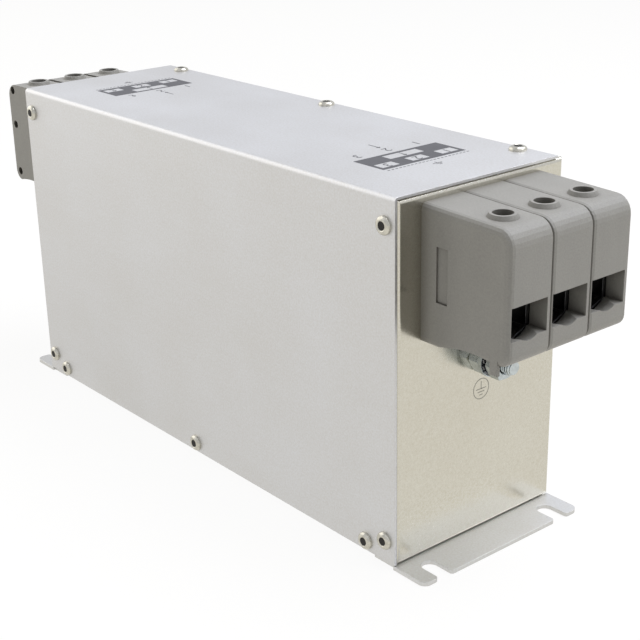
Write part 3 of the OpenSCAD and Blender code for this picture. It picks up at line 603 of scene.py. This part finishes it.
class FilterStage(PropertyGroup):
    place: FloatVectorProperty(
        name="Camera", description="Place of the camera", default=(0.4194, -0.3172, 0.2527),
        subtype="TRANSLATION", precision=4)
    azimuth: angle_of("Azimuth", "Camera's turn round the filter", 50.61)
    elevation: angle_of("Elevation", "Camera's angle above the floor", 21.22)
    roll: angle_of("Roll", "Camera's turn about its own axis", -1.19)
    lens: FloatProperty(
        name="Lens", description="Focal length in millimetres", default=75.85, min=1)
    overhead: power_of("Overhead", "Power of the softbox above", 16.5)
    overhead_tint: colour_of("Overhead tint", "Colour of the softbox above", (0.90, 0.92, 1.0))
    left: power_of("Left", "Power of the softbox on the line side", 9.5)
    front: power_of("Front", "Power of the softbox on the load side", 0.4)
    low_tint: colour_of("Low tint", "Colour of the two low softboxes", (1.0, 0.965, 0.90))
    sky: colour_of("Sky", "Colour of the light from all round", (0.935, 0.95, 1.0))
    ambient: FloatProperty(
        name="Ambient", description="Strength of the light from all round", default=0.25, min=0)
    sky_gloss: share_of("Sky gloss", "Strength of the surroundings as metal mirrors them", 0.85)
    floor: colour_of("Floor", "Colour of the floor", (0.88, 0.855, 0.79))
    floor_white: share_of("Floor white", "Share of the floor that is seen as plain white", 0.88)
    floor_tint: colour_of("Floor tint", "Colour of the floor's own glow", (1.0, 0.985, 0.955))
    floor_gloss: share_of("Floor gloss", "Share of that glow in what metal mirrors of it", 0.87)


# ---- operators -----------------------------------------------------------------------------

class FilterStep:
    """What every step's operator shares."""

    bl_options = {"REGISTER", "UNDO"}


def both(stem):
    return [f"{stem}_{end}" for end in ENDS]


def all_poles(stem):
    return [f"{stem}_{end}_{pole}" for end in ENDS for pole in POLES]


class FILTER_OT_case(FilterStep, Operator):
    """Finishes the cover, the base tray and the end walls as rolled sheet"""

    bl_idname = "filter.case"
    bl_label = "Case"

    def execute(self, context):
        look = context.scene.filter_finishes
        sheets = (
            ("cover_sheet", look.cover, look.cover_roughness, ["cover"]),
            ("tray_sheet", look.tray, look.cover_roughness, ["base_tray"]),
            ("wall_sheet", look.wall, look.wall_roughness, both("end_wall")),
        )
        for name, colour, roughness, nodes in sheets:
            put_on(rolled_sheet(name, colour, roughness, look.grain), *nodes)
        return {"FINISHED"}


class FILTER_OT_rivets(FilterStep, Operator):
    """Finishes the blind rivets and puts a near-black mandrel end in each of them, whose colour
    paints the shade inside the rivet's hole
    """

    bl_idname = "filter.rivets"
    bl_label = "Rivets"

    def execute(self, context):
        look = context.scene.filter_finishes
        metal = plated("rivet_metal", look.rivet, 0.25, worn=0.14)
        # painted shade: the mandrel ends are near black to stand in for the shade inside the
        # rivets' holes
        steel = plated("mandrel_steel", look.mandrel, 0.6, edge=0)
        outwards = {"cover_rivets": (0, -1, 0), "back_rivets": (0, 1, 0), "top_rivets": (0, 0, 1)}
        shape = bmesh.new()
        for node, out in outwards.items():
            put_on(metal, node)
            for points in solids(node):
                self.mandrel(shape, points, Vector(out))
        add_piece("mandrel_ends", mesh_of(shape, "mandrel_ends"), steel)
        return {"FINISHED"}

    def mandrel(self, shape, points, out):
        """Short flared pin that fills the mouth of the rivet's hole, a little below its rim; its
        near-black colour paints the shade in the hole.
        """
        depth, flare, play, mouth = 0.14 * MM, 0.27 * MM, 0.98, 0.8 * MM
        low, high = box_of(points)
        middle = (low + high) / 2
        rim = max(point.dot(out) for point in points)
        spokes = [point - middle for point in points if point.dot(out) > rim - mouth]
        bore = min((spoke - spoke.dot(out) * out).length for spoke in spokes)
        place = middle + (rim - 1.5 * depth - middle.dot(out)) * out
        turn = out.to_track_quat("Z", "Y").to_matrix().to_4x4()
        bmesh.ops.create_cone(
            shape, cap_ends=True, segments=24, radius1=bore * play, radius2=bore + flare,
            depth=depth, matrix=Matrix.Translation(place) @ turn)


class FILTER_OT_terminals(FilterStep, Operator):
    """Finishes the terminal housings with their clamps and bars"""

    bl_idname = "filter.terminals"
    bl_label = "Terminals"

    def execute(self, context):
        look = context.scene.filter_finishes
        screw = scaled(look.zinc, 0.9)
        put_on(moulded_plastic("terminal_moulding", look.moulding), *all_poles("terminal_housing"))
        # painted shade: the cages are dark to stand in for the shade in the wire chambers
        put_on(plated("cage_metal", look.cage, 0.2, edge=0.25 * MM), *all_poles("clamp_cage"))
        put_on(plated("screw_metal", screw, 0.3), *all_poles("clamp_screw"))
        put_on(plated("bar_metal", look.bars, 0.25), *all_poles("current_bar"))
        return {"FINISHED"}


class FILTER_OT_print(FilterStep, Operator):
    """Prints a band with light fields, plain numbers and marks at both ends of the cover's top"""

    bl_idname = "filter.print"
    bl_label = "Top print"

    def execute(self, context):
        art = context.scene.filter_print
        ink = print_ink("print_ink", art.ink)
        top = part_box("cover")[1].z
        for end, side in ENDS.items():
            shape = bmesh.new()
            self.band(shape, art, side)
            self.marks(shape, art, side)
            mesh = mesh_of(shape, f"print_{end}")
            turn = Matrix.Rotation(0 if side > 0 else math.pi, 4, "Z")
            mesh.transform(Matrix.Translation((0, 0, top)) @ turn)
            add_piece(f"print_{end}", mesh, ink)
            dashes = self.dashes(art, top, side, ink)
            add_piece(f"print_dashes_{end}", dashes, ink)
        return {"FINISHED"}

    def band(self, shape, art, side):
        """Dark band with three light fields in a row and one wide field inwards of them."""
        outer_margin, inner_margin, arrow_half = 2 * MM, 1.6 * MM, 2.2 * MM
        start, end, half = art.band_start, art.band_start + art.band_depth, art.band_width / 2
        row = end - art.field_depth - outer_margin
        windows = []
        for pole in POLES:
            y = self.across(art, side, pole)
            windows.append((
                row, y - art.field_width / 2, row + art.field_depth, y + art.field_width / 2))
            self.number(shape, art, pole, row + art.field_depth / 2, y)
        inner = start + inner_margin
        windows.append((inner, -art.field_width, inner + art.field_depth, art.field_width))
        plate_with_windows(shape, (start, -half), (end, half), windows, art.layer)
        self.arrow(shape, art, inner + art.field_depth / 2, arrow_half)

    def across(self, art, side, pole):
        """Place of a pole's number across the case, with pole 1 towards +Y at both ends."""
        return side * (2 - pole) * art.field_pitch

    def marks(self, shape, art, side):
        """Numbers inwards of the band, an arrow beyond them and an earth sign outwards."""
        numbers_in, arrow_in, arrow_half = 4.6 * MM, 11 * MM, 3.2 * MM
        for pole in POLES:
            self.number(shape, art, pole, art.band_start - numbers_in, self.across(art, side, pole))
        self.arrow(shape, art, art.band_start - arrow_in, arrow_half)
        stem_out, stem_length, stem_half = 4.2 * MM, 1.3 * MM, 0.18 * MM
        lines_out, line, step = 5.5 * MM, 0.35 * MM, 0.9 * MM
        band_end = art.band_start + art.band_depth
        for k, half in enumerate((2.2 * MM, 1.4 * MM, 0.6 * MM)):
            x = band_end + lines_out + k * step
            bar(shape, (x, -half), (x + line, half), art.layer)
        x = band_end + stem_out
        bar(shape, (x, -stem_half), (x + stem_length, stem_half), art.layer)

    def number(self, shape, art, pole, x, y):
        """A pole's number, read from the middle of the case."""
        thickness = 0.02 * MM
        turn = Matrix.Rotation(-math.pi / 2, 4, "Z")
        place = Matrix.Translation((x, y, art.layer / 2)) @ turn
        numeral(shape, str(pole), art.number_height, thickness, place)

    def arrow(self, shape, art, x, half):
        """An arrow that points outwards, with its middle at x."""
        wing, shaft, barb = 0.9 * MM, 0.22 * MM, 1.5 * MM
        tip, neck, tail = x + half, x + half - barb, x - half
        flat_shape(shape, [
            (tip, 0), (neck, wing), (neck, shaft), (tail, shaft), (tail, -shaft), (neck, -shaft),
            (neck, -wing),
        ], art.layer)

    def dashes(self, art, top, side, ink):
        """Dashed line across the case, outwards of the band."""
        filled, line_out = 0.62, 1.7 * MM
        tree = Shape("dashed_line", ("Place", "Width", "Height", "Thickness", "Line"), ("Count",))
        width, count = tree.given("Width"), tree.given("Count")
        step = width / count
        line = tree.node("GeometryNodeMeshLine", None, {
            "Count": count, "Offset": tree.vector(y=step), "Start Location": tree.vector(
                tree.given("Place"), (step - width) * 0.5, tree.given("Height"))})
        dash = tree.node("GeometryNodeMeshCube", None, {
            "Size": tree.vector(tree.given("Line"), step * filled, tree.given("Thickness"))})
        row = tree.node("GeometryNodeInstanceOnPoints", None, {"Points": line, "Instance": dash})
        tree.finish(row, ink)
        return grown(tree, "dashed_line", {
            "Place": side * (art.band_start + art.band_depth + line_out), "Width": art.band_width,
            "Height": top + art.layer / 2, "Thickness": art.layer, "Line": art.dash_line,
            "Count": art.dash_count,
        })


class FILTER_OT_earth_signs(FilterStep, Operator):
    """Lays a thin grey earth sign under each stud, whose colour paints the shade in the grooves of
    a stamped sign
    """

    bl_idname = "filter.earth_signs"
    bl_label = "Earth signs"

    def execute(self, context):
        # painted shade: a flat grey layer stands in for the shade of the stamped grooves
        dark = plated("stamped_line", context.scene.filter_finishes.stamp, 0.5, edge=0)
        aside, below = 1.4 * MM, 13.3 * MM
        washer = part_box("earth_washers")
        stud_z = (washer[0].z + washer[1].z) / 2
        for end, side in ENDS.items():
            low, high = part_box(f"end_wall_{end}")
            mesh = self.sign(f"earth_sign_{end}")
            centre = Vector((high.x if side > 0 else low.x, side * aside, stud_z - below))
            facing = Matrix.Rotation(side * math.pi / 2, 4, "Z")
            upright = Matrix.Rotation(math.pi / 2, 4, "X")
            mesh.transform(Matrix.Translation(centre) @ facing @ upright)
            add_piece(f"earth_sign_{end}", mesh, dark)
        return {"FINISHED"}

    def sign(self, name):
        """Ring with a stem and three ever shorter lines in it, flat on z = 0."""
        ring, line, depth, stem, step = 4.0 * MM, 0.35 * MM, 0.03 * MM, 0.72, 1.15 * MM
        shape = bmesh.new()
        ring_plate(shape, ring - line, ring, depth, steps=64)
        bar(shape, (-line / 2, 0), (line / 2, ring * stem), depth)
        for k, half in enumerate((0.62, 0.42, 0.2)):
            y = -k * step
            bar(shape, (-half * ring, y - line / 2), (half * ring, y + line / 2), depth)
        return mesh_of(shape, name)


class FILTER_OT_bolts(FilterStep, Operator):
    """Puts threaded bolts in the place of the plain ones"""

    bl_idname = "filter.bolts"
    bl_label = "Earth bolts"

    def execute(self, context):
        studs = context.scene.filter_studs
        zinc = plated("stud_zinc", context.scene.filter_finishes.zinc, 0.24)
        shape = bmesh.new()
        for points, side in zip(solids("earth_bolts"), ENDS.values()):
            bolt = self.bolt(points, studs, zinc)
            if side < 0:
                bolt.transform(Matrix.Rotation(math.pi, 4, "Z"))
            shape.from_mesh(bolt)
        mesh = mesh_of(shape, "earth_bolts_threaded", turn_out=False)
        piece = add_piece("earth_bolts_threaded", mesh, zinc)
        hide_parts("earth_bolts")
        return {"FINISHED"}

    def bolt(self, points, studs, zinc):
        """Hexagon head, core and thread, drawn along z and laid along +x."""
        crest, foot, root = 0.61, 0.86, 0.2  # thread's height, width and buried part in pitches
        low, high = box_of(points)
        middle, flats = (low + high) / 2, high.z - low.z
        reach = [(abs(point.x), from_axis(point, middle)) for point in points]
        near, far = min(reach)[0], max(reach)[0]
        head_high = max(x for x, r in reach if r > 0.4 * flats)
        radius = max(r for x, r in reach if x > head_high)
        tree = Shape("threaded_bolt", ("Length", "Radius", "Core", "Pitch", "Head", "Flats"))
        length, pitch, core_radius = (tree.given(label) for label in ("Length", "Pitch", "Core"))
        core = tree.node("GeometryNodeMeshCylinder", None, {
            "Vertices": 32, "Radius": core_radius, "Depth": length})
        spiral = tree.node("GeometryNodeCurveSpiral", None, {
            "Resolution": 28, "Rotations": (length - pitch) / pitch, "Start Radius": core_radius,
            "End Radius": core_radius, "Height": length - pitch})
        ridge = tree.node("GeometryNodeCurvePrimitiveQuadrilateral", {"mode": "KITE"}, {
            "Width": pitch * foot, "Bottom Height": pitch * root,
            "Top Height": tree.given("Radius") - core_radius})
        thread = tree.node("GeometryNodeCurveToMesh", None, {
            "Curve": spiral, "Profile Curve": ridge, "Fill Caps": True})
        thread = tree.moved(thread, translation=tree.vector(z=(length - pitch) * -0.5))
        head = tree.node("GeometryNodeMeshCylinder", None, {
            "Vertices": 6, "Radius": tree.given("Flats") / (2 * math.cos(math.pi / 6)),
            "Depth": tree.given("Head")})
        below = (length + tree.given("Head")) * -0.5
        head = tree.moved(head, translation=tree.vector(z=below))
        tree.finish(tree.joined(core, thread, head), zinc)
        mesh = grown(tree, "threaded_bolt", {
            "Length": far - head_high, "Radius": radius, "Core": radius - crest * studs.pitch,
            "Pitch": studs.pitch, "Head": head_high - near, "Flats": flats,
        })
        shank = Vector(((far + head_high) / 2, 0, middle.z))
        mesh.transform(Matrix.Translation(shank) @ Matrix.Rotation(math.pi / 2, 4, "Y"))
        return mesh


class FILTER_OT_nuts(FilterStep, Operator):
    """Puts chamfered nuts in the place of the plain ones"""

    bl_idname = "filter.nuts"
    bl_label = "Earth nuts"

    def execute(self, context):
        zinc = plated("nut_zinc", scaled(context.scene.filter_finishes.zinc, 0.96), 0.26)
        shape = bmesh.new()
        for points in solids("earth_nuts"):
            self.nut(shape, points, context.scene.filter_studs.chamfer)
        mesh = mesh_of(shape, "earth_nuts_chamfered")
        piece = add_piece("earth_nuts_chamfered", mesh, zinc)
        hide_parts("earth_nuts")
        return {"FINISHED"}

    def nut(self, shape, points, chamfer):
        """Nut along x whose corners are turned off by a cone at both faces."""
        steps, countersink, crown_share = 72, 0.4 * MM, 0.97
        low, high = box_of(points)
        middle, depth = (low + high) / 2, (high.x - low.x) / 2
        flats = (high.z - low.z) / 2
        bore = min(from_axis(point, middle) for point in points)
        crown = flats * crown_share
        rings = []
        for side in (1, -1):
            for kind in ("bore", "sink", "crown", "rim")[::side]:
                ring = []
                for k in range(steps):
                    angle = 2 * math.pi * k / steps
                    rim = flats / math.cos((angle + math.pi / 6) % (math.pi / 3) - math.pi / 6)
                    radius, drop = {
                        "bore": (bore, countersink),
                        "sink": (bore + countersink, 0),
                        "crown": (crown, 0),
                        "rim": (rim, (rim - crown) * math.tan(chamfer)),
                    }[kind]
                    around = Vector((0, math.sin(angle), math.cos(angle)))
                    along = Vector((side * (depth - drop), 0, 0))
                    ring.append(shape.verts.new(middle + radius * around + along))
                rings.append(ring)
        close_rings(shape, rings)


class FILTER_OT_washers(FilterStep, Operator):
    """Finishes the flat washers and puts twisted teeth on the toothed ones"""

    bl_idname = "filter.washers"
    bl_label = "Washers"

    def execute(self, context):
        look, studs = context.scene.filter_finishes, context.scene.filter_studs
        put_on(plated("washer_zinc", scaled(look.zinc, 0.9), 0.3), "earth_washers")
        steel = plated("tooth_steel", look.teeth, 0.35)
        shape = bmesh.new()
        for points in solids("earth_tooth_washers"):
            shape.from_mesh(self.washer(points, studs, steel))
        mesh = mesh_of(shape, "tooth_washers_twisted", turn_out=False)
        piece = add_piece("tooth_washers_twisted", mesh, steel)
        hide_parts("earth_tooth_washers")
        return {"FINISHED"}

    def washer(self, points, studs, steel):
        """Rim with a ring of teeth, each turned out of the washer's plane."""
        rim_share, tooth_share = 0.5, 0.42  # thickness of rim and teeth, in twisted thicknesses
        teeth_arc, overlap = 4.0, 1.06      # radians that all teeth fill, and their reach
        low, high = box_of(points)
        middle = (low + high) / 2
        tree = Shape("toothed_washer", ("Radius", "Bore", "Thickness", "Twist"), ("Teeth",))
        radius, bore, depth = (tree.given(label) for label in ("Radius", "Bore", "Thickness"))
        count = tree.given("Teeth")
        root = (radius + bore) * 0.5
        path = tree.node("GeometryNodeCurvePrimitiveCircle", None, {
            "Resolution": 64, "Radius": (root + bore) * 0.5})
        section = tree.node("GeometryNodeCurvePrimitiveQuadrilateral", None, {
            "Width": root - bore, "Height": depth * rim_share})
        rim = tree.node("GeometryNodeCurveToMesh", None, {"Curve": path, "Profile Curve": section})
        spots = tree.node("GeometryNodeMeshCircle", None, {
            "Vertices": count, "Radius": (radius + root) * 0.5})
        angle = tree.node("GeometryNodeInputIndex") * 2 * math.pi / count
        tooth = tree.node("GeometryNodeMeshCube", None, {"Size": tree.vector(
            (radius - root) * overlap, root * teeth_arc / count, depth * tooth_share)})
        tooth = tree.moved(tooth, rotation=tree.vector(x=tree.given("Twist")))
        teeth = tree.node("GeometryNodeInstanceOnPoints", None, {
            "Points": spots, "Instance": tooth, "Rotation": tree.vector(z=angle)})
        tree.finish(tree.joined(rim, teeth), steel)
        mesh = grown(tree, "toothed_washer", {
            "Radius": (high.z - low.z) / 2, "Thickness": high.x - low.x, "Twist": studs.twist,
            "Bore": min(from_axis(point, middle) for point in points), "Teeth": studs.teeth,
        })
        mesh.transform(Matrix.Translation(middle) @ Matrix.Rotation(math.pi / 2, 4, "Y"))
        return mesh


class FILTER_OT_choke(FilterStep, Operator):
    """Finishes the choke, its cradle, the sheet under it and the earth leads"""

    bl_idname = "filter.choke"
    bl_label = "Choke"

    def execute(self, context):
        look = context.scene.filter_inside
        put_on(sintered("core_ferrite", look.core), "choke_core")
        put_on(enamelled_wire("winding_wire", look.copper), *(f"winding_{p}" for p in POLES))
        fine, coarse = 0.3 * MM, 2.0 * MM
        put_on(plain_polymer("core_case", look.core_case, 0.4), "core_tray", "core_lid")
        put_on(plain_polymer("divider_fibre", look.divider, 0.6, fine), "winding_divider")
        put_on(plain_polymer("cradle_moulding", look.cradle, 0.5), "choke_cradle")
        put_on(plain_polymer("liner_film", look.liner, 0.35, coarse), "insulating_sheet")
        put_on(plain_polymer("earth_sleeve", look.sleeve, 0.4), *both("earth_lead"))
        return {"FINISHED"}


class FILTER_OT_boards(FilterStep, Operator):
    """Finishes the boards with their capacitors and resistors"""

    bl_idname = "filter.boards"
    bl_label = "Boards"

    def execute(self, context):
        look = context.scene.filter_inside
        fine = 0.2 * MM
        put_on(lacquered_board("board_laminate", look.board), *both("board"))
        put_on(plain_polymer("phase_case", look.phase_case, 0.35), *all_poles("phase_capacitor"))
        put_on(plain_polymer("earth_case", look.earth_case, 0.35), *both("earth_capacitor"))
        put_on(plain_polymer("resistor_lacquer", look.resistor, 0.3, fine), "bleed_resistors")
        return {"FINISHED"}


class FILTER_OT_stage(FilterStep, Operator):
    """Sets the floor, the soft light and the camera"""

    bl_idname = "filter.stage"
    bl_label = "Stage"

    def execute(self, context):
        scene = context.scene
        stage = scene.filter_stage
        self.floor(scene, stage)
        self.world(scene, stage)
        softboxes = (  # name, offset from the filter's middle, side, power and tint
            ("overhead_softbox", (0.35, 0.45, 1.15), 1.0, stage.overhead, stage.overhead_tint),
            ("left_softbox", (-1.3, -0.5, 0.5), 1.7, stage.left, stage.low_tint),
            ("front_softbox", (1.2, 0.45, 0.5), 0.9, stage.front, stage.low_tint),
        )
        for softbox in softboxes:
            self.softbox(scene, *softbox)
        self.camera(scene, stage)
        scene.view_settings.view_transform = "Standard"
        return {"FINISHED"}

    def floor(self, scene, stage):
        """Pale floor that is seen almost white, glows in what metal mirrors and takes shadows."""
        half_side, drop, white_level = 6, 0.2 * MM, 1.04
        material = bpy.data.materials.new("floor_paint")
        material.use_nodes = True
        paint = Graph(material.node_tree)
        matt = paint.node("ShaderNodeBsdfDiffuse", None, {"Color": opaque(stage.floor)})
        path = paint.node("ShaderNodeLightPath")
        white = paint.node("ShaderNodeEmission", None, {
            "Color": (1, 1, 1, 1), "Strength": white_level})
        glow = paint.node("ShaderNodeEmission", None, {
            "Color": opaque(stage.floor_tint), "Strength": 1.0})
        direct = stage.floor_white * path.other("Is Camera Ray")
        mirrored = stage.floor_gloss * path.other("Is Glossy Ray")
        mixed = paint.node("ShaderNodeMixShader", None, {0: mirrored, 1: matt, 2: glow})
        mixed = paint.node("ShaderNodeMixShader", None, {0: direct, 1: mixed, 2: white})
        paint.node("ShaderNodeOutputMaterial", None, {"Surface": mixed})
        shape = bmesh.new()
        bmesh.ops.create_grid(shape, x_segments=1, y_segments=1, size=half_side)
        mesh = mesh_of(shape, "floor", turn_out=False)
        mesh.materials.append(material)
        floor = bpy.data.objects.new("floor", mesh)
        scene.collection.objects.link(floor)
        floor.location.z = -drop

    def world(self, scene, stage):
        """Pale light from all round, brighter where metal mirrors it and plain white where seen."""
        scene.world = bpy.data.worlds.new("studio")
        scene.world.use_nodes = True
        sky = Graph(scene.world.node_tree)
        path = sky.node("ShaderNodeLightPath")
        plain = path.other("Is Camera Ray") + path.other("Is Transmission Ray")
        level = stage.ambient + (stage.sky_gloss - stage.ambient) * path.other("Is Glossy Ray")
        light = sky.node("ShaderNodeBackground", None, {
            "Color": opaque(stage.sky), "Strength": level})
        white = sky.node("ShaderNodeBackground", None, {"Color": (1, 1, 1, 1), "Strength": 1.0})
        seen = sky.node("ShaderNodeMixShader", None, {0: plain, 1: light, 2: white})
        sky.node("ShaderNodeOutputWorld", None, {"Surface": seen})

    def softbox(self, scene, name, offset, side, power, tint):
        """Square light that faces the filter's middle."""
        centre = sum((Vector(corner) for corner in CAD_BOUNDS), Vector()) / 2
        data = bpy.data.lights.new(name, "AREA")
        data.shape = "SQUARE"
        data.size = side
        data.energy = power
        data.color = tint
        lamp = bpy.data.objects.new(name, data)
        lamp.location = centre + Vector(offset)
        lamp.rotation_euler = (-Vector(offset)).to_track_quat("-Z", "Y").to_euler()
        scene.collection.objects.link(lamp)

    def camera(self, scene, stage):
        """Camera at its place, turned, tilted and rolled."""
        data = bpy.data.cameras.new("camera")
        data.lens = stage.lens
        data.sensor_width = 36
        data.clip_start = 10 * MM
        camera = bpy.data.objects.new("camera", data)
        scene.collection.objects.link(camera)
        camera.matrix_world = (
            Matrix.Translation(stage.place)
            @ Matrix.Rotation(stage.azimuth, 4, "Z")
            @ Matrix.Rotation(math.pi / 2 - stage.elevation, 4, "X")
            @ Matrix.Rotation(stage.roll, 4, "Z")
        )
        scene.camera = camera


STEPS = (
    FILTER_OT_case, FILTER_OT_rivets, FILTER_OT_terminals, FILTER_OT_print,
    FILTER_OT_earth_signs, FILTER_OT_bolts, FILTER_OT_nuts, FILTER_OT_washers,
    FILTER_OT_choke, FILTER_OT_boards, FILTER_OT_stage,
)
SETTINGS = {
    "filter_finishes": FilterFinishes, "filter_inside": FilterInside,
    "filter_print": FilterPrint, "filter_studs": FilterStuds, "filter_stage": FilterStage,
}


class FILTER_PT_sidebar(Panel):
    """Lists the filter's steps and settings"""

    bl_idname = "FILTER_PT_sidebar"
    bl_label = "Line filter"
    bl_space_type = "VIEW_3D"
    bl_region_type = "UI"
    bl_category = "Line filter"

    def draw(self, context):
        for step in STEPS:
            self.layout.operator(step.bl_idname)
        for name, group in SETTINGS.items():
            box = self.layout.box()
            for setting in group.__annotations__:
                box.prop(getattr(context.scene, name), setting)


def register():
    for made in (*SETTINGS.values(), *STEPS, FILTER_PT_sidebar):
        bpy.utils.register_class(made)
    for name, group in SETTINGS.items():
        setattr(bpy.types.Scene, name, PointerProperty(type=group))


def unregister():
    for name in SETTINGS:
        delattr(bpy.types.Scene, name)
    for made in reversed((*SETTINGS.values(), *STEPS, FILTER_PT_sidebar)):
        bpy.utils.unregister_class(made)


def main():
    register()
    bpy.ops.filter.case()
    bpy.ops.filter.rivets()
    bpy.ops.filter.terminals()
    bpy.ops.filter.print()
    bpy.ops.filter.earth_signs()
    bpy.ops.filter.bolts()
    bpy.ops.filter.nuts()
    bpy.ops.filter.washers()
    bpy.ops.filter.choke()
    bpy.ops.filter.boards()
    bpy.ops.filter.stage()


if __name__ == "__main__":
    main()
